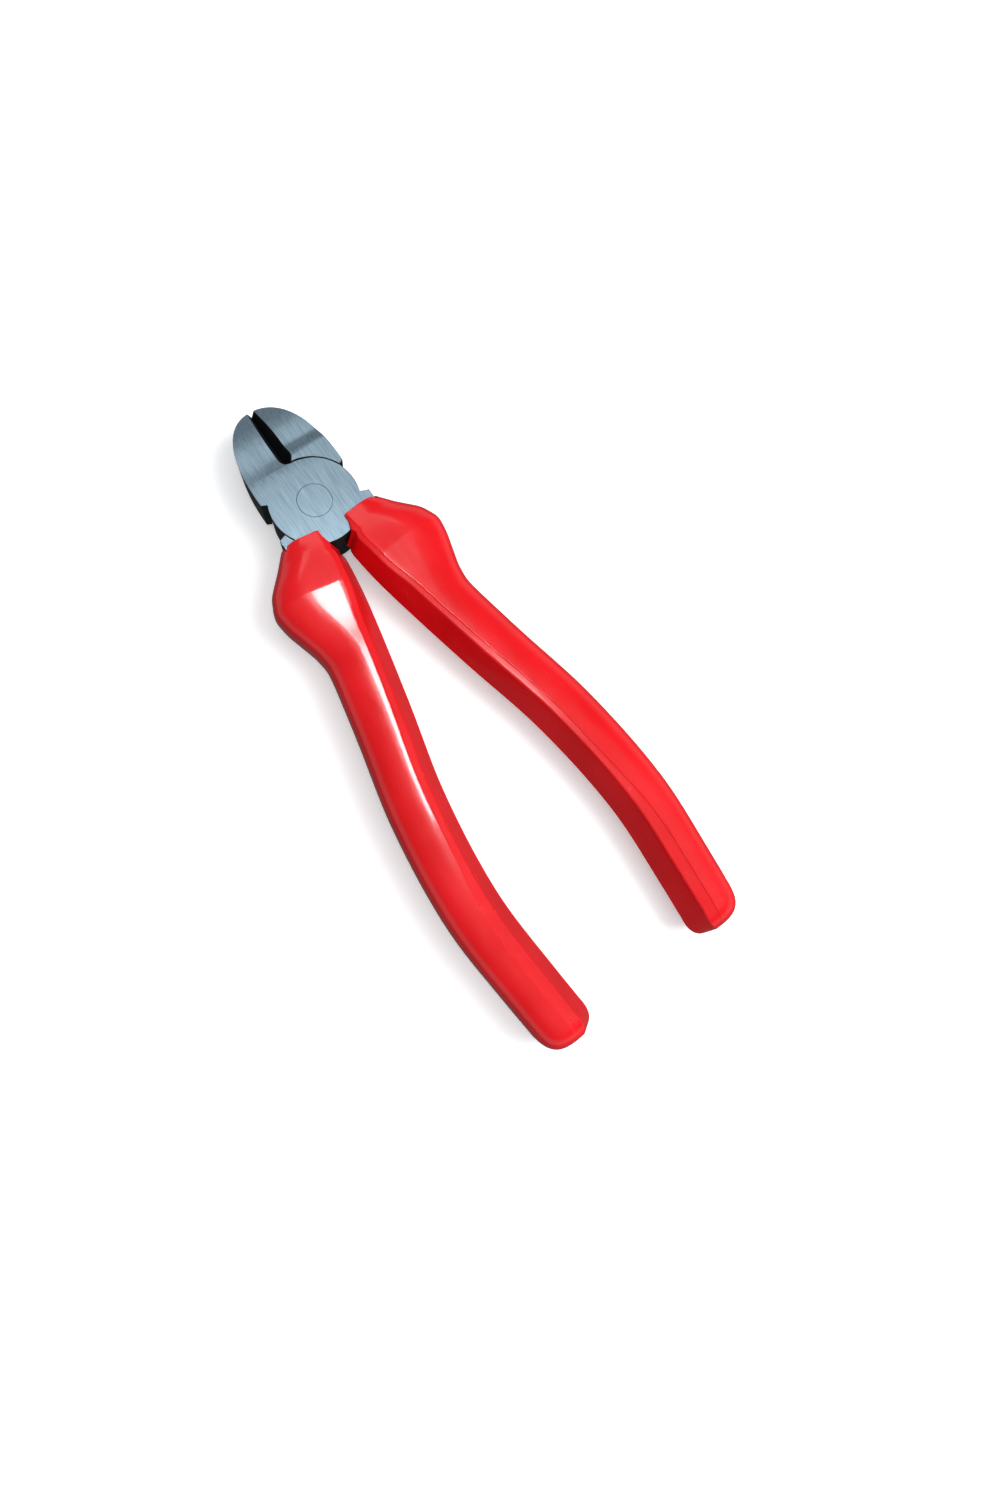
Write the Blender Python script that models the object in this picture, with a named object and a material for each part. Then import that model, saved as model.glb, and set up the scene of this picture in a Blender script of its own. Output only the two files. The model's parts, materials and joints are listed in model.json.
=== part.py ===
"""Diagonal cutting pliers: two forged lever halves lapped on one rivet, each in a moulded grip.

The pivot axis is Z and the jaw tips point along +Y. The origin is the middle of the joint's flat
underside, so the joint fills z = 0 to JOINT_THICKNESS and the thicker grips stand below it. The two
levers are one forging used twice: the lower one is the upper one turned half round the Y axis.
"""

import math

import bmesh
import bpy
from mathutils import Matrix

MM = 0.001

# Joint
JOINT_RADIUS = 10.5 * MM
JOINT_THICKNESS = 10.0 * MM
HEEL_ANGLE = math.radians(25.0)  # heel of each jaw, above the X axis
SHOULDER_ANGLE = math.radians(19.0)  # shoulder of each tang, below the X axis
RIVET_RADIUS = 3.0 * MM
RIVET_HEAD_RADIUS = 4.0 * MM
RIVET_HEAD_DEPTH = 1.0 * MM

# Head
JAW_LENGTH = 27.0 * MM  # pivot axis to the jaw tips
HEEL_STEP = 0.4 * MM  # how far the sides of the jaws stand outside the joint disc
TIP_THICKNESS = 4.6 * MM
JAW_FULLNESS = 2.2  # exponent of the rounded outline: 2 is an ellipse
JAW_SPRING_Y = 6.0 * MM  # where the sides start to curve in towards the tips
FACE_BREAK = 1.5 * MM  # how far inside the disc's rim the jaw faces start to fall
FACE_FILLET = 5.0 * MM  # length of the hollow between the flat and the falling face
FILLET_DROP = 0.9 * MM
BEVEL_ANGLE = math.radians(20.0)  # of each cutting edge, from the closing plane
EDGE_GAP = 0.3 * MM  # between the closed cutting edges

# Tang, the steel bar inside each grip
TANG_WIDTH = 7.0 * MM
TANG_HEIGHT = 7.0 * MM
TANG_ROOT_WALL = 1.0 * MM  # grip wall outside the root of the tang
TANG_END_COVER = 14.0 * MM  # grip material beyond the end of the tang

# Grip
HANDLE_LENGTH = 132.5 * MM  # pivot axis to the end of the grips
WAIST_WIDTH = 14.9 * MM  # of a grip just behind the guard
END_WIDTH = 13.2 * MM
GRIP_THICKNESS = 14.0 * MM
GUARD_WIDTH = 21.4 * MM  # across the thumb guard
FLARE_POWER = 1.6  # fullness of the collar's outer side from its front corner to the guard
GUARD_RUN = 19.0 * MM  # from the widest of the guard to where it has run out into the handle
COLLAR_Y = 5.5 * MM  # pivot axis to the front end of the grips
COLLAR_INNER = 3.4 * MM  # closing plane to the inner corner of the front end
COLLAR_STEP = 2.4 * MM  # how far the outer front corner stands outside the joint disc
COLLAR_LIP = 1.4 * MM  # how far the front end stands above the joint face
CROTCH_GAP = 2.0 * MM  # between the two grips just behind the joint
INNER_BEVEL = 3.4 * MM  # how far the inner side leans from its middle to its upper crease
TOP_BEVEL = 1.5 * MM  # small bevel between the inner side and the flat top
OUTER_ROUND = 4.4 * MM  # width of the rounding from the flat top to the outer side
END_ROUND = 7.0 * MM

# The sweep of a handle behind the crotch: share of the way to the end of the grip, and the distance
# of the grip's inner edge from the closing plane.
SWEEP = (
    (0.11, 4.1 * MM),
    (0.27, 8.2 * MM),
    (0.46, 13.4 * MM),
    (0.68, 16.4 * MM),
    (0.87, 15.5 * MM),
    (1.0, 14.3 * MM),
)

# Clearances
LAP_GAP = 0.3 * MM  # between the two halves, face to face and round the joint disc
RIVET_CLEARANCE = 0.1 * MM
SLEEVE_GAP = 0.3 * MM  # between a grip and the steel inside it

# Worked out from the sizes above
HALF = JOINT_THICKNESS / 2
HEAD_HALF_WIDTH = JOINT_RADIUS + HEEL_STEP
COLLAR_WIDTH = JOINT_RADIUS + COLLAR_STEP - COLLAR_INNER
GUARD_Y = JOINT_RADIUS + 6.0 * MM
WAIST_Y = GUARD_Y + GUARD_RUN
CROTCH = (
    (COLLAR_Y, COLLAR_INNER),
    (JOINT_RADIUS - 0.5 * MM, CROTCH_GAP / 2),
    (JOINT_RADIUS + 9.5 * MM, CROTCH_GAP / 2 + 0.7 * MM),
)
BOW = [(CROTCH[-1][0] + share * (HANDLE_LENGTH - CROTCH[-1][0]), x) for share, x in SWEEP]
INNER_EDGE = (*CROTCH, *BOW)

# Fineness
ROUND_STEPS = 64
JAW_STEPS = 14
SIDE_STEPS = 4
GRIP_STATIONS = 30
CUT = 20.0 * MM  # how far cutters run past what they cut


# Curves


def through(points, at):
    """Height at `at` of a smooth curve through (place, height) points in rising order."""
    index = max(i for i in range(len(points) - 1) if i == 0 or points[i][0] <= at)
    (x0, y0), (x1, y1) = points[index], points[index + 1]
    before = points[max(index - 1, 0)]
    after = points[min(index + 2, len(points) - 1)]
    span = x1 - x0
    slope0 = (y1 - before[1]) / (x1 - before[0]) * span
    slope1 = (after[1] - y0) / (after[0] - x0) * span
    t = min(max((at - x0) / span, 0.0), 1.0)
    return (
        y0 * (2 * t**3 - 3 * t**2 + 1)
        + slope0 * (t**3 - 2 * t**2 + t)
        + y1 * (3 * t**2 - 2 * t**3)
        + slope1 * (t**3 - t**2)
    )


def ease(start, end, at):
    """0 before start, 1 after end, smooth between."""
    t = min(max((at - start) / (end - start), 0.0), 1.0)
    return t * t * (3 - 2 * t)


def circle(radius, steps=ROUND_STEPS):
    turns = [2 * math.pi * i / steps for i in range(steps)]
    return [(radius * math.cos(turn), radius * math.sin(turn)) for turn in turns]


# Meshes


def mesh_object(name, mesh, turn=None):
    if turn is not None:
        mesh.transform(turn)
    mesh.validate()
    part = bpy.data.objects.new(name, mesh)
    bpy.context.scene.collection.objects.link(part)
    return part


def loft(name, rings, turn=None):
    """A closed solid through rings of points, all of the same number."""
    shape = bmesh.new()
    rows = [[shape.verts.new(point) for point in ring] for ring in rings]
    for row, following in zip(rows, rows[1:]):
        for i in range(len(row)):
            j = (i + 1) % len(row)
            shape.faces.new((row[i], row[j], following[j], following[i]))
    shape.faces.new(rows[0][::-1])
    shape.faces.new(rows[-1])
    bmesh.ops.recalc_face_normals(shape, faces=shape.faces)
    mesh = bpy.data.meshes.new(name)
    shape.to_mesh(mesh)
    shape.free()
    return mesh_object(name, mesh, turn)


def prism(name, outline, low, high, turn=None):
    """An outline of (x, y) points extruded from z = low to z = high."""
    rings = [[(x, y, z) for x, y in outline] for z in (low, high)]
    return loft(name, rings, turn)


def turned(name, profile, turn=None):
    """A solid of revolution about Z, from (radius, z) points in rising order."""
    rings = [[(x, y, z) for x, y in circle(radius)] for radius, z in profile]
    return loft(name, rings, turn)


def combine(part, other, operation):
    """Adds a Boolean of `other` to `part`, and keeps `other` as a hidden helper."""
    modifier = part.modifiers.new(other.name, "BOOLEAN")
    modifier.operation = operation
    modifier.object = other
    modifier.solver = "EXACT"
    other.hide_render = True
    other.display_type = "WIRE"
    other.parent = part


# Lever halves: built as the upper one, with the middle of the joint at z = 0


def jaw_outline():
    """The left jaw in plan, from the pivot round the heel and the outside to the tip."""
    heel_y = HEAD_HALF_WIDTH * math.tan(HEEL_ANGLE)
    spring_y = max(JAW_SPRING_Y, heel_y + EDGE_GAP)
    points = [(-EDGE_GAP / 2, 0.0), (-HEAD_HALF_WIDTH, heel_y)]
    for i in range(JAW_STEPS + 1):
        turn = math.pi / 2 * i / JAW_STEPS
        x = HEAD_HALF_WIDTH * math.cos(turn) ** (2 / JAW_FULLNESS)
        y = (JAW_LENGTH - spring_y) * math.sin(turn) ** (2 / JAW_FULLNESS)
        points.append((-max(x, EDGE_GAP / 2), spring_y + y))
    return points


def face_relief(name, side, turn):
    """What is ground off one face of the jaws: level at the joint, hollow, then falling to the tips."""
    drop = HALF - TIP_THICKNESS / 2
    start = JOINT_RADIUS - FACE_BREAK
    end = start + FACE_FILLET
    profile = [(start, HALF)]
    for i in range(1, SIDE_STEPS + 1):
        t = i / SIDE_STEPS
        profile.append((start + t * (end - start), HALF - FILLET_DROP * math.sin(t * math.pi / 2)))
    profile.append((JAW_LENGTH + CUT, HALF - drop - (drop - FILLET_DROP) * CUT / (JAW_LENGTH - end)))
    profile.append((JAW_LENGTH + CUT, HALF + CUT))
    profile.append((start, HALF + CUT))
    rings = [[(x, y, side * z) for y, z in profile] for x in (-CUT, CUT)]
    return loft(name, rings, turn)


def edge_bevel(name, side, turn):
    """The wedge ground off the jaw beside its cutting edge, on one face."""
    lean = CUT * math.tan(BEVEL_ANGLE)
    wedge = ((CUT, 0.0), (-EDGE_GAP / 2, 0.0), (-EDGE_GAP / 2 - lean, side * CUT), (CUT, side * CUT))
    near = JOINT_RADIUS + LAP_GAP
    rings = [[(x, y, z) for x, z in wedge] for y in (near, JAW_LENGTH + CUT)]
    return loft(name, rings, turn)


def tang_section(y, margin):
    """Inner x, outer x and half height of the tang at a distance behind the pivot."""
    root = 1 - ease(GUARD_Y - 5 * MM, WAIST_Y - 8 * MM, y)
    inner, outer = grip_edges(y)
    middle = (inner + outer) / 2 + INNER_BEVEL / 4
    root_outer = grip_edges(COLLAR_Y)[1] - TANG_ROOT_WALL
    root_inner = COLLAR_INNER + TANG_ROOT_WALL
    low = root * root_inner + (1 - root) * (middle - TANG_WIDTH / 2)
    high = root * root_outer + (1 - root) * (middle + TANG_WIDTH / 2)
    half_height = root * HALF + (1 - root) * TANG_HEIGHT / 2
    return low - margin, high + margin, half_height + margin


def tang(name, margin, turn):
    """The bar behind the joint. With a margin it is the hollow of the grip that holds it."""
    front = JOINT_RADIUS * math.sin(SHOULDER_ANGLE)
    back = HANDLE_LENGTH - TANG_END_COVER
    rings = []
    for i in range(GRIP_STATIONS + 1):
        y = front + (back - front) * i / GRIP_STATIONS
        low, high, tall = tang_section(y, margin)
        y += margin * (2 * i / GRIP_STATIONS - 1)
        rings.append([(low, -y, -tall), (high, -y, -tall), (high, -y, tall), (low, -y, tall)])
    return loft(name, rings, turn)


def shoulder_cut(name, turn):
    """Trims the front of the tang to a line through the pivot, where the other jaw's heel stops."""
    reach = CUT + JOINT_RADIUS
    slope = math.tan(SHOULDER_ANGLE)
    outline = ((0.0, 0.0), (reach, -reach * slope), (reach, reach), (0.0, reach))
    return prism(name, outline, -CUT, CUT, turn)


def rivet_profile(margin):
    head, shaft = RIVET_HEAD_RADIUS + margin, RIVET_RADIUS + margin
    seat = HALF - RIVET_HEAD_DEPTH
    return [(head, -HALF), (shaft, -seat), (shaft, seat), (head, HALF)]


def lever(name, turn, material):
    """One forging: jaw at -X, half-thickness joint disc in the upper layer, tang at +X."""
    part = tang(name, 0.0, turn)
    combine(part, shoulder_cut(name + "_shoulder", turn), "DIFFERENCE")
    jaw = prism(name + "_jaw", jaw_outline(), -HALF, HALF, turn)
    for side, face in ((1, "upper"), (-1, "lower")):
        combine(jaw, face_relief(f"{name}_{face}_relief", side, turn), "DIFFERENCE")
        combine(jaw, edge_bevel(f"{name}_{face}_bevel", side, turn), "DIFFERENCE")
    combine(part, jaw, "UNION")
    disc = turned(name + "_disc", [(JOINT_RADIUS, -LAP_GAP), (JOINT_RADIUS, HALF)], turn)
    combine(part, disc, "UNION")
    recess_radius = JOINT_RADIUS + LAP_GAP
    recess = turned(name + "_recess", [(recess_radius, -CUT), (recess_radius, LAP_GAP / 2)], turn)
    combine(part, recess, "DIFFERENCE")
    bore = turned(name + "_bore", past_ends(rivet_profile(RIVET_CLEARANCE)), turn)
    combine(part, bore, "DIFFERENCE")
    finish(part, material)
    return part


def past_ends(profile):
    """A turned profile carried on beyond both of its ends, to cut right through."""
    first, last = profile[0], profile[-1]
    return [(first[0], first[1] - CUT)] + profile + [(last[0], last[1] + CUT)]


# Grips: built as the right one, with the middle of the joint at z = 0


def grip_edges(y):
    """Inner and outer x of a grip at a distance behind the pivot."""
    inner = through(INNER_EDGE, y)
    into_flare = min(max((y - COLLAR_Y) / (GUARD_Y - COLLAR_Y), 0.0), 1.0)
    flare = 1 - (1 - into_flare) ** FLARE_POWER
    waist = ease(GUARD_Y, WAIST_Y, y)
    taper = max((y - WAIST_Y) / (HANDLE_LENGTH - WAIST_Y), 0.0)
    width = COLLAR_WIDTH + flare * (GUARD_WIDTH - COLLAR_WIDTH)
    width += waist * (WAIST_WIDTH - GUARD_WIDTH) + taper * (END_WIDTH - WAIST_WIDTH)
    return inner, inner + width


def grip_section(y):
    """One ring of the grip: leaning inner side, small bevel, flat top, round outer side, and back."""
    inner, outer = grip_edges(y)
    width = outer - inner
    low_front = 1 - ease(COLLAR_Y, GUARD_Y, y)
    tall = GRIP_THICKNESS / 2 - low_front * (GRIP_THICKNESS / 2 - HALF - COLLAR_LIP)
    lean = min(INNER_BEVEL, 0.3 * width) * ease(0.0, GUARD_Y, y)
    upper = [(inner, 0.0), (inner + lean, tall - TOP_BEVEL), (inner + lean + TOP_BEVEL, tall)]
    round_width = min(OUTER_ROUND, 0.3 * width)
    for i in range(SIDE_STEPS + 1):
        turn = math.pi / 2 * i / SIDE_STEPS
        x = outer - round_width * (1 - math.sin(turn))
        upper.append((x, tall * math.cos(turn) ** (2 / 3)))
    lower = [(x, -z) for x, z in upper[-2:0:-1]]
    ring = upper + lower
    into_end = max(y - (HANDLE_LENGTH - END_ROUND), 0.0) / END_ROUND
    keep = max(1 - into_end**2.5, 0.04) ** (1 / 2.5)
    middle = (inner + outer) / 2
    return [(middle + (x - middle) * keep, -y, z * keep) for x, z in ring]


def grip_stations():
    """Distances behind the pivot, evenly spread along the handle and closer in the rounded end."""
    straight = HANDLE_LENGTH - END_ROUND
    even = [COLLAR_Y + (straight - COLLAR_Y) * i / GRIP_STATIONS for i in range(GRIP_STATIONS)]
    turns = [math.pi / 2 * i / (2 * SIDE_STEPS) for i in range(2 * SIDE_STEPS + 1)]
    return even + [straight + END_ROUND * math.sin(turn) for turn in turns]


def grip(name, turn, material):
    """A hollow moulded sleeve, open at the front, with its collar lapping over the joint disc."""
    part = loft(name, [grip_section(y) for y in grip_stations()], turn)
    combine(part, tang(name + "_hollow", SLEEVE_GAP, turn), "DIFFERENCE")
    radius, reach = JOINT_RADIUS + 2 * LAP_GAP, HALF + LAP_GAP
    combine(part, turned(name + "_joint_space", [(radius, -reach), (radius, reach)], turn), "DIFFERENCE")
    finish(part, material)
    return part


# Rivet


def pivot_rivet(material):
    """Countersunk at both ends and ground flush with the joint faces."""
    part = turned("pivot_rivet", rivet_profile(0.0), lift())
    finish(part, material)
    return part


# Assembly


def lift():
    return Matrix.Translation((0.0, 0.0, HALF))


def half_turn():
    """Turns a piece half round the Y axis, which swaps left with right and upper with lower."""
    return lift() @ Matrix.Rotation(math.pi, 4, "Y")


def finish(part, material):
    part.data.materials.append(material)
    for face in part.data.polygons:
        face.use_smooth = False


def principled(name, colour, roughness, metallic):
    material = bpy.data.materials.new(name)
    material.use_nodes = True
    shader = material.node_tree.nodes["Principled BSDF"]
    shader.inputs["Base Color"].default_value = (*colour, 1.0)
    shader.inputs["Roughness"].default_value = roughness
    shader.inputs["Metallic"].default_value = metallic
    return material


def half_frame(name, members):
    """An empty on the pivot axis that carries one half of the tool."""
    frame = bpy.data.objects.new(name, None)
    bpy.context.scene.collection.objects.link(frame)
    for member in members:
        member.parent = frame


def clear_scene():
    for old in list(bpy.data.objects):
        bpy.data.objects.remove(old, do_unlink=True)


def build():
    clear_scene()
    steel = principled("forged_steel", (0.62, 0.64, 0.66), 0.35, 1.0)
    rivet_steel = principled("rivet_steel", (0.55, 0.57, 0.59), 0.3, 1.0)
    red = principled("red_vinyl", (0.80, 0.02, 0.02), 0.3, 0.0)
    upper = lever("upper_lever", lift(), steel)
    lower = lever("lower_lever", half_turn(), steel)
    right = grip("right_grip", lift(), red)
    left = grip("left_grip", half_turn(), red)
    rivet = pivot_rivet(rivet_steel)
    half_frame("lower_half", (lower, left, rivet))
    half_frame("upper_half", (upper, right))


build()
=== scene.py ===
"""Looks of the diagonal cutting pliers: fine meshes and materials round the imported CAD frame."""

import json
import math

import bmesh
import bpy
import numpy as np
from mathutils import Matrix, Vector

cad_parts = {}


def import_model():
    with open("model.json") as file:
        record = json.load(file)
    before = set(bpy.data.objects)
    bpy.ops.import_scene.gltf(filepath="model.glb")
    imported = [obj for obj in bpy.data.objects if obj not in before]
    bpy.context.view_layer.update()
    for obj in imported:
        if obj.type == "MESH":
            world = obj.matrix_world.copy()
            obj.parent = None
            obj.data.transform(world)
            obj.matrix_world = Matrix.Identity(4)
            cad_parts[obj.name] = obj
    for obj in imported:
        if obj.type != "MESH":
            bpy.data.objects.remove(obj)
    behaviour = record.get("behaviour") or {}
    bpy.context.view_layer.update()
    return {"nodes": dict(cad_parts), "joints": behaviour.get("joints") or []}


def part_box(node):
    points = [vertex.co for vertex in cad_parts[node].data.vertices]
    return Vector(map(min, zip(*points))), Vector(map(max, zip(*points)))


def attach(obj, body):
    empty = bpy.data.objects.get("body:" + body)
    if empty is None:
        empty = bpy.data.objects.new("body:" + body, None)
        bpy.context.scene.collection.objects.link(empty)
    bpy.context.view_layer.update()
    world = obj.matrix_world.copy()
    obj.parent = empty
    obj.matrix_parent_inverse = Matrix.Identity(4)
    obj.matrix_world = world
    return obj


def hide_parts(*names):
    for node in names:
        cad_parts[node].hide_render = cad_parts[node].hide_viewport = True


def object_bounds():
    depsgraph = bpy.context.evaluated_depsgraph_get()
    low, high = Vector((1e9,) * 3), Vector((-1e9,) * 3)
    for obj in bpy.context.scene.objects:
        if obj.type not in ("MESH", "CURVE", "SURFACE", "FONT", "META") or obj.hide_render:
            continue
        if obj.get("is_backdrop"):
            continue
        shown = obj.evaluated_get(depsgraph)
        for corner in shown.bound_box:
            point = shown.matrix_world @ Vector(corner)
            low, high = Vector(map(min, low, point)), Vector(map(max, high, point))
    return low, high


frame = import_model()

MM = 0.001

# Taken from the frame
PIVOT = Vector(frame["joints"][0]["pos_m"])
LEVER_LOW, LEVER_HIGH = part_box("upper_lever")
GRIP_LOW, GRIP_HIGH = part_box("right_grip")
HALF = LEVER_HIGH.z - PIVOT.z
JAW_LENGTH = LEVER_HIGH.y - PIVOT.y
HEAD_HALF_WIDTH = PIVOT.x - LEVER_LOW.x
RIVET_HEAD_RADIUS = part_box("pivot_rivet")[1].x - PIVOT.x
GRIP_HALF = GRIP_HIGH.z - PIVOT.z
FRONT = PIVOT.y - GRIP_HIGH.y
END = PIVOT.y - GRIP_LOW.y
TANG_END = PIVOT.y - LEVER_LOW.y

# Head
HEEL_STEP = 0.4 * MM
JOINT_RADIUS = HEAD_HALF_WIDTH - HEEL_STEP
HEEL_ANGLE = math.radians(25.0)
SHOULDER_ANGLE = math.radians(19.0)
JAW_FULLNESS = 2.2
JAW_SPRING_Y = 6.0 * MM
# Where the jaw faces leave the level of the joint, on the disc's side and on the plain side, and
# where they are level again
HOLLOWS = {1: (7.6 * MM, 15.2 * MM), -1: (11.2 * MM, 15.9 * MM)}
FALL_START = 17.2 * MM  # where they start to fall to the tips
HOLLOW_DROP = 0.85 * MM
TIP_HALF = 2.3 * MM
FALL_POWER = 1.6
BEVEL_ANGLE = math.radians(20.5)
THROAT_ROUND = 2.6 * MM  # length of the rounded inner end of the cutting bevels
EDGE_GAP = 0.01 * MM
EDGE_LAND = 0.08 * MM  # half the height of the flat along each cutting edge
LAP_GAP = 0.24 * MM
EDGE_OVERLAP = 0.06 * MM  # how far below the land's edge the bevel's cutter starts
THROAT_LEAST = 0.02  # share of its slope with which a cutting bevel starts
ARRIS = 0.06 * MM  # the small bevel on the levers' sharp edges
WELD = 0.03 * MM  # points closer than this become one before the edges are bevelled
FINE_WELD = 0.008 * MM  # and after it
BEVELLED_FROM = 30.0  # degrees between faces
STEEL_EDGE = 12.0  # degrees between faces that are shaded as an edge and not as a curve
VINYL_EDGE = 40.0
TANG_CHAMFER = 0.8 * MM
TANG_CHAMFER_RUN = 20 * MM  # behind the joint, where the chamfer grows from nothing to full
CHAMFER_LEAST = 0.02 * MM
FACE_TOP = TIP_HALF - 0.3 * MM  # bright steel lies above this, on faces that look up or down
FACE_UP = 0.62
RING_GAP = 0.07 * MM  # the fine ring round the rivet
RIVET_SUNK = 0.01 * MM
CUT = 20 * MM  # cutters are this long, more than any thickness here
PAST = 1 * MM  # how far a shape goes on past the one that it meets
HAIR = 0.02 * MM

# Grip. The tables give a size, in millimetres, at distances behind the pivot.
WALL_LEAN = ((5.5, 0.1), (6.6, 0.2), (10.0, 2.0), (20.0, 2.5), (30.0, 3.4), (133.0, 3.4))
LEDGE_WIDTH = ((5.5, 0.25), (6.6, 0.35), (10.0, 1.1), (35.0, 1.2))
LEDGE_WIDTH += ((60.0, 1.5), (80.0, 1.3), (110.0, 2.6), (133.0, 2.6))
LEDGE_DROP = 0.14 * MM
LEDGE_TILT = 0.16 * MM  # how much lower its inner edge lies than its outer one
STEP_WIDTH = 0.2 * MM
OUTER_ROUND = 9.0 * MM
FLAT_LEAST = 0.8 * MM  # width of the flat between the step and the rounded outer side
CROWN_POWER = 0.56
END_ROUND = 6.5 * MM
END_POWER = 2.8
END_LEAST = 0.2  # share of the section that the flat at the very end keeps
FRONT_ROUND = 0.45 * MM
FRONT_SLANT = 1.1 * MM  # how far back the inner end of the collar's front edge lies
# Inner edge of the collar over the joint disc, where the frame's grips are cut back below it
COLLAR_EDGE = ((5.5, 3.3), (6.6, 3.3), (10.0, 1.0))
COLLAR_EDGE_END = 12.5 * MM
WALL_EDGE = 0.6 * MM  # radii of the moulded creases
STEP_EDGE = 0.22 * MM
FRONT_HEIGHT = 6.2 * MM  # of the collar at its front end, above the middle plane
RIDGE_INNER_X = 5.5 * MM
RIDGE_RUN_X = 12 * MM
RIDGE_INNER_Y = 19.6 * MM
RIDGE_OUTER_Y = 17.6 * MM
RIDGE_SOFTNESS = 0.7 * MM
HOLLOW_DEPTH = 0.4 * MM  # of the thumb rest behind the ridge
HOLLOW_LENGTH = 24 * MM
PARTING_HEIGHT = 0.05 * MM  # how far the mould's parting line stands out
SHRINK = 0.05 * MM  # keeps the crowned faces inside the frame's
SLEEVE_GAP = 0.25 * MM
JOINT_SPACE = 0.34 * MM  # between a grip and the joint's faces
JOINT_SPACE_RIM = 0.48 * MM
END_DRIFT = -0.12  # the handle's middle carries on inwards through its rounded end
GRIP_STEPS = 230
GRIP_CROWDING = 1.15  # above 1, the rings crowd towards the collar
END_STEPS = 15
WALL_STEPS = 9
FLAT_STEPS = 8
ROUND_STEPS = 20


# Meshes


def link(name, mesh):
    piece = bpy.data.objects.new(name, mesh)
    bpy.context.scene.collection.objects.link(piece)
    return piece


def loft(name, rings):
    """A closed solid through rings of points, all of the same number."""
    shape = bmesh.new()
    rows = [[shape.verts.new(point) for point in ring] for ring in rings]
    count = len(rows[0])
    for row, following in zip(rows, rows[1:]):
        for i in range(count):
            j = (i + 1) % count
            shape.faces.new((row[i], row[j], following[j], following[i]))
    shape.faces.new(rows[0][::-1])
    shape.faces.new(rows[-1])
    bmesh.ops.recalc_face_normals(shape, faces=shape.faces)
    mesh = bpy.data.meshes.new(name)
    shape.to_mesh(mesh)
    shape.free()
    return link(name, mesh)


def circle(radius, steps=128):
    turns = [2 * math.pi * i / steps for i in range(steps)]
    return [(radius * math.cos(turn), radius * math.sin(turn)) for turn in turns]


def prism(name, outline, low, high):
    return loft(name, [[(x, y, z) for x, y in outline] for z in (low, high)])


def turned(name, profile):
    return loft(name, [[(x, y, z) for x, y in circle(radius)] for radius, z in profile])


def combine(piece, other, operation):
    """Applies a Boolean of `other` to `piece` and removes `other`."""
    modifier = piece.modifiers.new("cut", "BOOLEAN")
    modifier.operation = operation
    modifier.object = other
    modifier.solver = "EXACT"
    apply_modifiers(piece)
    old = other.data
    bpy.data.objects.remove(other)
    bpy.data.meshes.remove(old)


def apply_modifiers(piece):
    graph = bpy.context.evaluated_depsgraph_get()
    mesh = bpy.data.meshes.new_from_object(piece.evaluated_get(graph), depsgraph=graph)
    old = piece.data
    piece.modifiers.clear()
    piece.data = mesh
    mesh.name = piece.name
    bpy.data.meshes.remove(old)


def tidy_mesh(piece, nearest):
    shape = bmesh.new()
    shape.from_mesh(piece.data)
    bmesh.ops.remove_doubles(shape, verts=shape.verts, dist=nearest)
    bmesh.ops.dissolve_degenerate(shape, edges=shape.edges, dist=nearest)
    shape.to_mesh(piece.data)
    shape.free()


def slices(part, stations):
    """Lowest and highest x, and highest z, of a CAD part where planes across Y meet it."""
    mesh = frame["nodes"][part].data
    points = np.array([v.co for v in mesh.vertices], float)
    ends = np.array([e.vertices for e in mesh.edges])
    first, second = points[ends[:, 0]], points[ends[:, 1]]
    found = []
    for y in stations:
        crossing = (first[:, 1] - y) * (second[:, 1] - y) <= 0
        a, b = first[crossing], second[crossing]
        run = b[:, 1] - a[:, 1]
        share = np.where(abs(run) > 1e-9, (y - a[:, 1]) / np.where(run == 0, 1, run), 0.5)
        cut = a + (b - a) * np.clip(share, 0, 1)[:, None]
        found.append((cut[:, 0].min(), cut[:, 0].max(), cut[:, 2].max()))
    return np.array(found)


def ease(start, end, at):
    t = min(max((at - start) / (end - start), 0.0), 1.0)
    return t * t * (3 - 2 * t)


# Steel halves, made as the upper one with the middle of the joint at the origin


def jaw_outline(steps=56):
    heel_y = HEAD_HALF_WIDTH * math.tan(HEEL_ANGLE)
    points = [(-EDGE_GAP / 2, 0.0), (-HEAD_HALF_WIDTH, heel_y)]
    for i in range(steps + 1):
        turn = math.pi / 2 * i / steps
        x = HEAD_HALF_WIDTH * math.cos(turn) ** (2 / JAW_FULLNESS)
        y = (JAW_LENGTH - JAW_SPRING_Y) * math.sin(turn) ** (2 / JAW_FULLNESS)
        points.append((-max(x, EDGE_GAP / 2), JAW_SPRING_Y + y))
    return points


def face_height(side, y):
    """Height of a jaw face above the middle plane: level, hollow, level, then falling."""
    start, end = HOLLOWS[side]
    share = min(max((y - start) / (end - start), 0.0), 1.0)
    height = HALF - HOLLOW_DROP * (1 - math.cos(math.pi * share)) / 2
    beyond = max(y - FALL_START, 0.0) / (JAW_LENGTH - FALL_START)
    return height - (HALF - HOLLOW_DROP - TIP_HALF) * beyond**FALL_POWER


def face_relief(side, steps=40):
    """Cuts the jaw face down to face_height. It starts clearly above the face, for a clean edge."""
    start = HOLLOWS[side][0]
    reach = JAW_LENGTH + PAST
    places = [start + (reach - start) * i / steps for i in range(1, steps + 1)]
    profile = [(start, HALF + HAIR)] + [(y, face_height(side, y)) for y in places]
    profile += [(reach, CUT), (start, CUT)]
    return loft("relief", [[(x, y, side * z) for y, z in profile] for x in (-CUT, CUT)])


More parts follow.
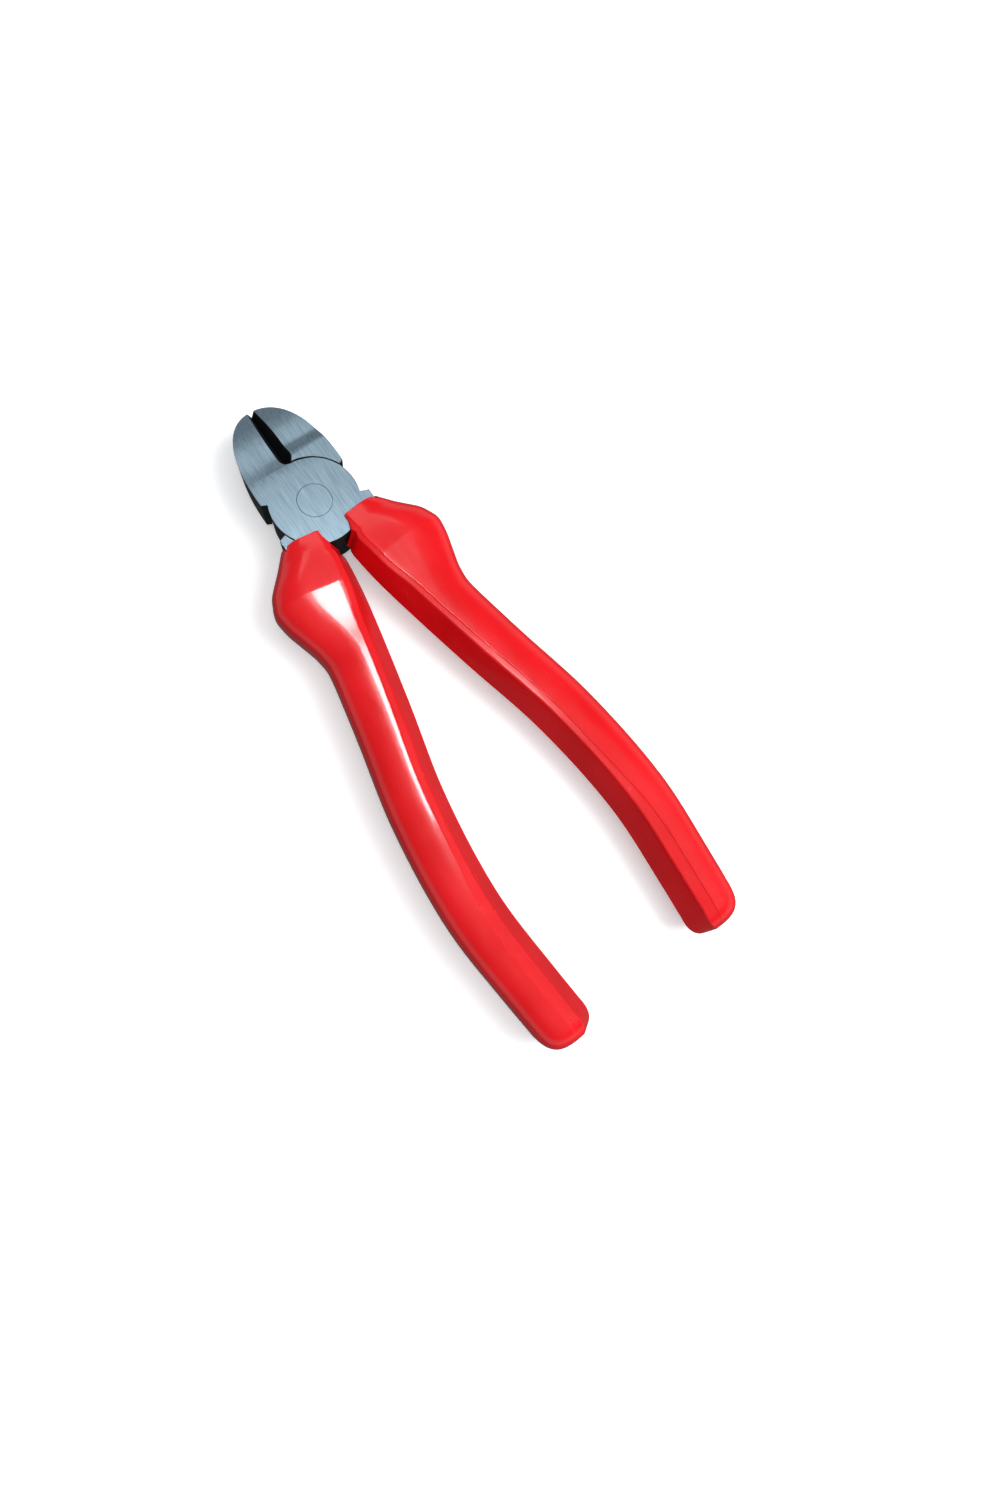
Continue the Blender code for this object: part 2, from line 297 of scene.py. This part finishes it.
def edge_bevel(side, steps=14):
    """The wedge ground off beside a cutting edge, with a rounded inner end at the throat."""
    near = JOINT_RADIUS + LAP_GAP / 2
    rings = []
    for i in range(steps + 2):
        share = min(i / steps, 1.0)
        y = near + THROAT_ROUND * (1 - math.cos(share * math.pi / 2))
        if i > steps:
            y = JAW_LENGTH + CUT
        lean = CUT * math.tan(BEVEL_ANGLE) * max(math.sin(share * math.pi / 2), THROAT_LEAST)
        edge = -EDGE_GAP / 2
        foot = EDGE_LAND - EDGE_OVERLAP
        beside = edge + lean / CUT * (EDGE_LAND - foot)
        wedge = ((CUT, foot), (beside, foot), (edge - lean, CUT), (CUT, CUT))
        rings.append([(x, y, side * z) for x, z in wedge])
    return loft("bevel", rings)


def tang_solid(name, margin, steps=60):
    """The bar behind the joint, as wide as in the frame. With a margin it is a grip's hollow."""
    front = JOINT_RADIUS * math.sin(SHOULDER_ANGLE)
    behind = [FRONT + (TANG_END - FRONT) * (i / steps) for i in range(steps + 1)]
    found = slices("upper_lever", [PIVOT.y - max(y, JOINT_RADIUS + PAST) for y in behind])
    rings = []
    for y, (low, high, top) in zip([front] + behind, np.vstack([found[:1], found])):
        y += margin if y > front + PAST else 0.0
        tall = top - PIVOT.z + margin
        low, high = low - PIVOT.x - margin, high - PIVOT.x + margin
        cut = TANG_CHAMFER * ease(JOINT_RADIUS, JOINT_RADIUS + TANG_CHAMFER_RUN, y)
        cut += CHAMFER_LEAST
        corners = ((low + cut, -tall), (high - cut, -tall), (high, -tall + cut), (high, tall - cut))
        corners += ((high - cut, tall), (low + cut, tall), (low, tall - cut), (low, -tall + cut))
        rings.append([(x, -y, z) for x, z in corners])
    return loft(name, rings)


def shoulder_cut():
    reach = CUT + JOINT_RADIUS
    slope = math.tan(SHOULDER_ANGLE)
    outline = ((0.0, 0.0), (reach, -reach * slope), (reach, reach), (0.0, reach))
    return prism("shoulder", outline, -CUT, CUT)


def lever(name, turn, body):
    piece = tang_solid(name, 0.0)
    combine(piece, shoulder_cut(), "DIFFERENCE")
    combine(piece, prism("jaw", jaw_outline(), -HALF, HALF), "UNION")
    combine(piece, turned("disc", [(JOINT_RADIUS, -LAP_GAP), (JOINT_RADIUS, HALF)]), "UNION")
    for side in (1, -1):
        combine(piece, face_relief(side), "DIFFERENCE")
        combine(piece, edge_bevel(side), "DIFFERENCE")
    rim = JOINT_RADIUS + LAP_GAP
    combine(piece, turned("recess", [(rim, -CUT), (rim, LAP_GAP / 2)]), "DIFFERENCE")
    tidy_mesh(piece, WELD)
    bevel = piece.modifiers.new("arris", "BEVEL")
    bevel.width = ARRIS
    bevel.segments = 2
    bevel.limit_method = "ANGLE"
    bevel.angle_limit = math.radians(BEVELLED_FROM)
    bevel.use_clamp_overlap = False
    apply_modifiers(piece)
    tidy_mesh(piece, FINE_WELD)
    bore = RIVET_HEAD_RADIUS + RING_GAP / 2
    combine(piece, turned("bore", [(bore, -CUT), (bore, CUT)]), "DIFFERENCE")
    paint_steel(piece)
    settle(piece, turn, body, name.replace("_steel", ""), STEEL_EDGE)


def paint_steel(piece):
    """Bright ground faces above and below, black scale on the sides, in the bevels and in the lap."""
    piece.data.materials.append(ground_steel())
    piece.data.materials.append(black_scale())
    for face in piece.data.polygons:
        on_face = abs(face.center.z) > FACE_TOP and abs(face.normal.z) > FACE_UP
        face.material_index = 0 if on_face else 1


def settle(piece, turn, body, part, edge_angle):
    """Puts a finished piece in its place, on its body, instead of its CAD part."""
    piece.data.transform(turn)
    shade(piece, edge_angle)
    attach(piece, body)
    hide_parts(part)


def shade(piece, angle):
    for face in piece.data.polygons:
        face.use_smooth = True
    piece.data.set_sharp_from_angle(angle=math.radians(angle))


def rivet():
    """Ground flush: its flat end stands a hair below the joint face inside a fine ring."""
    radius = RIVET_HEAD_RADIUS - RING_GAP / 2
    face = HALF - RIVET_SUNK
    edge = RING_GAP / 2
    upper = [(radius, face - edge), (radius - edge, face)]
    profile = [(r, -z) for r, z in upper[::-1]] + upper
    piece = turned("rivet_steel", profile)
    piece.data.materials.append(ground_steel())
    place = Matrix.Translation(PIVOT)
    settle(piece, place, "lower_half", "pivot_rivet", STEEL_EDGE)


# Grips, made as the right one with the middle of the joint at the origin


def top_height(x, y):
    """Height of a grip's face above the middle plane at x and a distance y behind the pivot."""
    share = min(max((x - RIDGE_INNER_X) / RIDGE_RUN_X, 0.0), 1.0)
    ridge = RIDGE_INNER_Y + share * (RIDGE_OUTER_Y - RIDGE_INNER_Y)
    collar = FRONT_HEIGHT + (GRIP_HALF - FRONT_HEIGHT) * (y - FRONT) / (ridge - FRONT)
    behind = max(y - ridge, 0.0) / HOLLOW_LENGTH
    # 27/4 brings the highest value of t(1 - t)^2 to 1
    hollow = HOLLOW_DEPTH * 27 / 4 * behind * (1 - behind) ** 2 if behind < 1 else 0.0
    handle = GRIP_HALF - hollow
    soft = RIDGE_SOFTNESS * (GRIP_HALF - FRONT_HEIGHT) / (ridge - FRONT)
    rise = collar - handle
    return (collar + handle - math.sqrt(rise * rise + 4 * soft * soft)) / 2 + soft - SHRINK


def arc_corner(before, corner, after, radius, steps):
    """Points that round one corner of a polygon."""
    a, b, c = Vector(before), Vector(corner), Vector(after)
    to_a, to_c = (a - b).normalized(), (c - b).normalized()
    half = math.acos(max(-1.0, min(1.0, to_a.dot(to_c)))) / 2
    reach = radius / math.tan(half)
    start, finish = b + to_a * reach, b + to_c * reach
    points = []
    for i in range(steps + 1):
        t = i / steps
        points.append(start * (1 - t) ** 2 + b * 2 * t * (1 - t) + finish * t**2)
    return points


def between(table, at):
    """Reads a smooth value from a table of (place, value), both in millimetres."""
    places = [place * MM for place, _ in table]
    values = [value * MM for _, value in table]
    if at <= places[0]:
        return values[0]
    for i in range(len(table) - 1):
        if at <= places[i + 1]:
            return values[i] + (values[i + 1] - values[i]) * ease(places[i], places[i + 1], at)
    return values[-1]


def grip_profile(y, low, high):
    """The upper half of one section: leaning wall, ledge, small step, flat face and crowned outer side."""
    width = high - low
    unit = GRIP_HALF
    lean = between(WALL_LEAN, y)
    ledge = between(LEDGE_WIDTH, y)
    round_width = min(OUTER_ROUND, 0.6 * width, width - lean - ledge - STEP_WIDTH - FLAT_LEAST)
    wall_top = (low + lean, unit - LEDGE_DROP - LEDGE_TILT)
    step_foot = (low + lean + ledge, unit - LEDGE_DROP)
    step_top = (low + lean + ledge + STEP_WIDTH, unit)
    flat_end = (high - round_width, unit)
    edge = min(WALL_EDGE, 0.4 * ledge)
    wall_corner = arc_corner((low, 0.0), wall_top, step_foot, edge, 6)
    foot_corner = arc_corner(wall_top, step_foot, step_top, 0.5 * STEP_EDGE, 2)
    top_corner = arc_corner(step_foot, step_top, flat_end, STEP_EDGE, 3)
    points = []
    for i in range(WALL_STEPS):
        t = i / WALL_STEPS
        points.append(Vector((low + (wall_corner[0].x - low) * t, wall_corner[0].y * t)))
    points += wall_corner + foot_corner + top_corner
    for i in range(1, FLAT_STEPS):
        points.append(top_corner[-1].lerp(Vector(flat_end), i / FLAT_STEPS))
    for i in range(ROUND_STEPS + 1):
        turn = math.pi / 2 * i / ROUND_STEPS
        x = high - round_width * (1 - math.sin(turn))
        points.append(Vector((x, unit * math.cos(turn) ** CROWN_POWER)))
    return points


def grip_ring(y, low, high):
    """One closed ring of the grip, with the parting line of its mould at mid height."""
    upper = grip_profile(y, low + PARTING_HEIGHT, high - PARTING_HEIGHT)
    upper[0].x -= PARTING_HEIGHT
    upper[-1].x += PARTING_HEIGHT
    points = [(point.x, point.y / GRIP_HALF * top_height(point.x, y)) for point in upper]
    return points + [(x, -z) for x, z in points[-2:0:-1]]


def grip_rings():
    """Rings from the front end to the rounded back end, with the front edge rounded over."""
    straight = END - END_ROUND
    run = straight - FRONT
    shares = [(i / GRIP_STEPS) ** GRIP_CROWDING for i in range(GRIP_STEPS)]
    places = [FRONT + FRONT_ROUND + run * share for share in shares]
    turns = [math.pi / 2 * i / END_STEPS for i in range(END_STEPS + 1)]
    front = [FRONT + FRONT_ROUND * (1 - math.cos(turn)) for turn in turns[::3]]
    back = [straight + END_ROUND * math.sin(turn) for turn in turns]
    stations = front + [y for y in places if front[-1] < y < straight] + back
    inside = [min(max(y, FRONT + HAIR), straight) for y in stations]
    found = smoothed(slices("right_grip", [PIVOT.y - y for y in inside]))
    rings = []
    for y, (low, high, _) in zip(stations, found):
        low, high = low - PIVOT.x, high - PIVOT.x
        collar = 1 - ease(COLLAR_EDGE[-1][0] * MM, COLLAR_EDGE_END, y)
        low += collar * (between(COLLAR_EDGE, y) - low)
        into_end = max(y - straight, 0.0) / END_ROUND
        keep = max(max(1 - into_end**END_POWER, 0.0) ** (1 / END_POWER), END_LEAST)
        into_front = max(FRONT + FRONT_ROUND - y, 0.0)
        inset = FRONT_ROUND - math.sqrt(max(FRONT_ROUND**2 - into_front**2, 0.0))
        middle = (low + high) / 2
        slant = FRONT_SLANT * (1 - ease(FRONT, RIDGE_OUTER_Y, y))
        ring = []
        for x, z in grip_ring(y, low, high):
            back_by = slant * (high - x) / (high - low)
            x = middle + END_DRIFT * max(y - straight, 0.0) + shrink((x - middle) * keep, inset)
            ring.append((x, -y - back_by, shrink(z * keep, inset)))
        rings.append(ring)
    return rings


def shrink(value, inset):
    """Brings a coordinate nearer to 0 by `inset`."""
    return math.copysign(max(abs(value) - inset, 0.0), value)


def smoothed(found, passes=6):
    """Evens out the facets of the CAD outline, and keeps its two ends."""
    for _ in range(passes):
        found[1:-1] = (found[:-2] + 2 * found[1:-1] + found[2:]) / 4
    return found


def grip(name, turn, body):
    piece = loft(name, grip_rings())
    combine(piece, tang_solid("hollow", SLEEVE_GAP), "DIFFERENCE")
    radius, reach = JOINT_RADIUS + JOINT_SPACE_RIM, HALF + JOINT_SPACE
    combine(piece, turned("joint_space", [(radius, -reach), (radius, reach)]), "DIFFERENCE")
    piece.data.materials.append(red_vinyl())
    settle(piece, turn, body, name.replace("_vinyl", ""), VINYL_EDGE)


# Materials


def new_material(name):
    """A material, its nodes, a way to link them, and its Principled shader."""
    material = bpy.data.materials.new(name)
    material.use_nodes = True
    tree = material.node_tree
    return material, tree, tree.nodes["Principled BSDF"]


def node(tree, kind, **values):
    """A shader node with some inputs set by name."""
    made = tree.nodes.new(kind)
    for key, value in values.items():
        made.inputs[key].default_value = value
    return made


def noise(tree, stretch, scale, detail=4.0, roughness=0.6):
    """Noise over the piece's own coordinates, with the texture stretched by `stretch`."""
    place = node(tree, "ShaderNodeTexCoord")
    mapping = node(tree, "ShaderNodeMapping", Scale=stretch)
    tree.links.new(place.outputs["Object"], mapping.inputs["Vector"])
    made = node(tree, "ShaderNodeTexNoise", Scale=scale, Detail=detail, Roughness=roughness)
    tree.links.new(mapping.outputs["Vector"], made.inputs["Vector"])
    return made.outputs["Fac"]


def ramp(tree, source, stops):
    """Turns 0..1 into colours, from (place, (red, green, blue)) pairs."""
    made = node(tree, "ShaderNodeValToRGB")
    tree.links.new(source, made.inputs["Fac"])
    elements = made.color_ramp.elements
    while len(elements) < len(stops):
        elements.new(0.5)
    for element, (place, colour) in zip(elements, stops):
        element.position = place
        element.color = (*colour, 1.0)
    return made.outputs["Color"]


def spread(tree, source, low, high):
    """Maps the middle half of 0..1, where nearly all of a noise lies, to low..high."""
    limits = {"From Min": 0.25, "From Max": 0.75, "To Min": low, "To Max": high}
    made = node(tree, "ShaderNodeMapRange", **limits)
    tree.links.new(source, made.inputs["Value"])
    return made.outputs["Result"]


def bump(tree, shader, sources, distance):
    """Chains bumps of (source, strength) on to the shader's normal."""
    normal = None
    for source, strength in sources:
        made = node(tree, "ShaderNodeBump", Strength=strength, Distance=distance)
        tree.links.new(source, made.inputs["Height"])
        if normal is not None:
            tree.links.new(normal, made.inputs["Normal"])
        normal = made.outputs["Normal"]
    tree.links.new(normal, shader.inputs["Normal"])


def once(make):
    """Makes a material the first time it is asked for, and hands out the same one after that."""
    kept = []

    def give():
        if not kept:
            kept.append(make())
        return kept[0]

    return give


@once
def ground_steel():
    """Ground and brushed along the tool, faintly blue, with fine streaks and duller clouds."""
    material, tree, shader = new_material("ground_steel")
    shader.inputs["Metallic"].default_value = 1.0
    grain = noise(tree, (3200, 130, 3200), 1.0, detail=5.0)
    fine = noise(tree, (11000, 500, 11000), 1.0, detail=3.0)
    cloud = noise(tree, (1, 1, 1), 160.0)
    colour = ramp(tree, grain, ((0.3, (0.20, 0.29, 0.355)), (0.7, (0.335, 0.445, 0.52))))
    tree.links.new(colour, shader.inputs["Base Color"])
    tree.links.new(spread(tree, cloud, 0.30, 0.39), shader.inputs["Roughness"])
    bump(tree, shader, ((grain, 0.16), (fine, 0.08)), 0.05 * MM)
    return material


@once
def black_scale():
    """Heat-blackened forging skin, slightly mottled."""
    material, tree, shader = new_material("black_scale")
    shader.inputs["Specular IOR Level"].default_value = 0.22
    mottle = noise(tree, (1, 1, 1), 900.0, detail=6.0)
    patch = noise(tree, (1, 1, 1), 220.0)
    colour = ramp(tree, patch, ((0.3, (0.004, 0.005, 0.006)), (0.75, (0.012, 0.015, 0.018))))
    tree.links.new(colour, shader.inputs["Base Color"])
    tree.links.new(spread(tree, mottle, 0.38, 0.6), shader.inputs["Roughness"])
    bump(tree, shader, ((mottle, 0.35),), 0.08 * MM)
    return material


@once
def red_vinyl():
    """Glossy moulded vinyl: soft ripples from the mould, fine orange peel, duller scuffs."""
    material, tree, shader = new_material("red_vinyl")
    ripple = noise(tree, (1, 0.6, 1), 130.0, detail=1.5, roughness=0.4)
    peel = noise(tree, (1, 1, 1), 1500.0, detail=2.0)
    scuff = noise(tree, (1, 0.35, 1), 420.0, detail=6.0, roughness=0.7)
    colour = ramp(tree, ripple, ((0.25, (0.72, 0.003, 0.006)), (0.75, (0.82, 0.007, 0.012))))
    tree.links.new(colour, shader.inputs["Base Color"])
    tree.links.new(spread(tree, scuff, 0.16, 0.30), shader.inputs["Roughness"])
    shader.inputs["Specular IOR Level"].default_value = 0.4
    shader.inputs["Coat Weight"].default_value = 0.5
    shader.inputs["Coat Roughness"].default_value = 0.07
    bump(tree, shader, ((ripple, 0.16), (peel, 0.03)), 0.6 * MM)
    return material


@once
def pale_floor():
    """Matt, and slightly luminous, so that the soft shadows stay faint."""
    material, tree, shader = new_material("pale_floor")
    shader.inputs["Base Color"].default_value = (0.93, 0.93, 0.93, 1.0)
    shader.inputs["Roughness"].default_value = 0.9
    shader.inputs["Emission Color"].default_value = (1.0, 1.0, 1.0, 1.0)
    shader.inputs["Emission Strength"].default_value = 0.35
    return material


# Stage


FLOOR_HALF = 3.0
FLOOR_THICKNESS = 0.01


def floor():
    """The floor lights and reflects in nothing, so the grips' lower edges stay dark."""
    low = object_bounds()[0].z
    corners = ((-1, -1), (1, -1), (1, 1), (-1, 1))
    outline = [(FLOOR_HALF * x, FLOOR_HALF * y) for x, y in corners]
    piece = prism("floor", outline, low - FLOOR_THICKNESS, low)
    piece.data.materials.append(pale_floor())
    piece.visible_diffuse = False
    piece.visible_glossy = False
    piece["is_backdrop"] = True


VIEW_AZIMUTH = -77.0
VIEW_ELEVATION = 78.2
VIEW_ROLL = 42.1
VIEW_DISTANCE = 186.2 * MM
AIM = Vector((2.8, -70.6, 5.0)) * MM
LENS = 19.4
SENSOR_WIDTH = 36.0
STRIP_TURN = math.radians(-10)


def camera():
    """Looks down at the tool from the photograph's viewing angle."""
    azimuth, elevation, roll = (math.radians(a) for a in (VIEW_AZIMUTH, VIEW_ELEVATION, VIEW_ROLL))
    flat = math.cos(elevation)
    back = Vector((math.sin(azimuth) * flat, -math.cos(azimuth) * flat, math.sin(elevation)))
    right = Vector((0, 0, 1)).cross(back).normalized()
    up = back.cross(right)
    turned_right = right * math.cos(roll) + up * math.sin(roll)
    turned_up = up * math.cos(roll) - right * math.sin(roll)
    data = bpy.data.cameras.new("camera")
    data.sensor_width = SENSOR_WIDTH
    data.lens = LENS
    data.clip_start = 0.01
    seen = bpy.data.objects.new("camera", data)
    bpy.context.scene.collection.objects.link(seen)
    axes = Matrix((turned_right, turned_up, back)).transposed()
    seen.matrix_world = Matrix.Translation(AIM + back * VIEW_DISTANCE) @ axes.to_4x4()
    bpy.context.scene.camera = seen


def soft_light(name, place, target, size, power):
    """A rectangular area light at `place`, turned to `target`."""
    data = bpy.data.lights.new(name, "AREA")
    data.shape = "RECTANGLE"
    data.size, data.size_y = size
    data.energy = power
    lamp = bpy.data.objects.new(name, data)
    bpy.context.scene.collection.objects.link(lamp)
    aim = (Vector(target) - Vector(place)).to_track_quat("-Z", "Y")
    lamp.matrix_world = Matrix.Translation(place) @ aim.to_matrix().to_4x4()
    return lamp


def lights():
    """A soft key and fill for the matt light, and a strip and a glow for the reflections."""
    middle = (0.0, -0.05, 0.0)
    strip_place = (0.04, 0.035, 0.5)
    key = soft_light("key", (0.42, -0.3, 0.58), middle, (0.5, 0.5), 4.5)
    fill = soft_light("fill", (0.05, -0.2, 0.8), middle, (0.9, 0.9), 3.9)
    for lamp in (key, fill):
        lamp.visible_glossy = False
    strip = soft_light("strip", strip_place, (*strip_place[:2], 0.0), (0.03, 0.2), 0.72)
    strip.matrix_world = strip.matrix_world @ Matrix.Rotation(STRIP_TURN, 4, "Z")
    glow = soft_light("glow", (0.1, 0.37, 0.5), (0.0, 0.0, 0.0), (0.2, 0.2), 0.19)
    for lamp in (strip, glow):
        lamp.visible_diffuse = False


def world():
    """A pale studio: bright round the horizon, dimmer overhead, dark below."""
    made = bpy.data.worlds.new("studio")
    made.use_nodes = True
    tree = made.node_tree
    place = node(tree, "ShaderNodeTexCoord")
    split = node(tree, "ShaderNodeSeparateXYZ")
    tree.links.new(place.outputs["Generated"], split.inputs["Vector"])
    height = node(tree, "ShaderNodeMapRange", **{"From Min": -1.0})
    tree.links.new(split.outputs["Z"], height.inputs["Value"])
    stops = ((0.0, (0.10, 0.10, 0.10)), (0.45, (0.16, 0.16, 0.17)), (0.5, (0.62, 0.64, 0.66)))
    stops += ((0.68, (0.50, 0.52, 0.54)), (0.77, (0.15, 0.16, 0.17)))
    colour = ramp(tree, height.outputs["Result"], stops)
    tree.links.new(colour, tree.nodes["Background"].inputs["Color"])
    bpy.context.scene.world = made


def main():
    upper = Matrix.Translation(PIVOT)
    lower = upper @ Matrix.Rotation(math.pi, 4, "Y")
    lever("upper_lever_steel", upper, "upper_half")
    lever("lower_lever_steel", lower, "lower_half")
    rivet()
    grip("right_grip_vinyl", upper, "upper_half")
    grip("left_grip_vinyl", lower, "lower_half")
    floor()
    camera()
    world()
    lights()
    bpy.context.scene.view_settings.view_transform = "Standard"


main()
